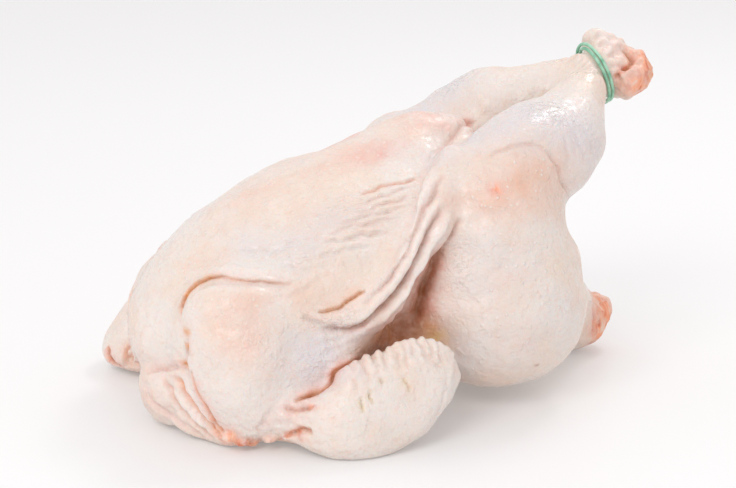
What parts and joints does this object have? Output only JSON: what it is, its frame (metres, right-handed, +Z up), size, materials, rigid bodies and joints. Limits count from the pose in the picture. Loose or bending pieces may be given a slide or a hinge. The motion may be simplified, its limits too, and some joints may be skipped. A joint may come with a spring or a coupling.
{
  "type": "whole raw chicken",
  "caption": "Whole raw plucked chicken with its skin on, lying on its back with folded wings and with its hocks tied by a thin elastic band.",
  "frame": {"origin": "on the table, under the middle of the bird's box", "axes": "+X from the neck to the tail, +Y to the bird's left side, the side away from the camera, +Z up from the back to the breast"},
  "size_m": [0.2573, 0.1836, 0.1519],
  "materials": {
    "raw_skin": "moist pale raw skin",
    "green_elastic": "satin sea-green elastic"
  },
  "bodies": {
    "root": {"chicken": "raw_skin", "elastic_band": "green_elastic"}
  },
  "joints": []
}
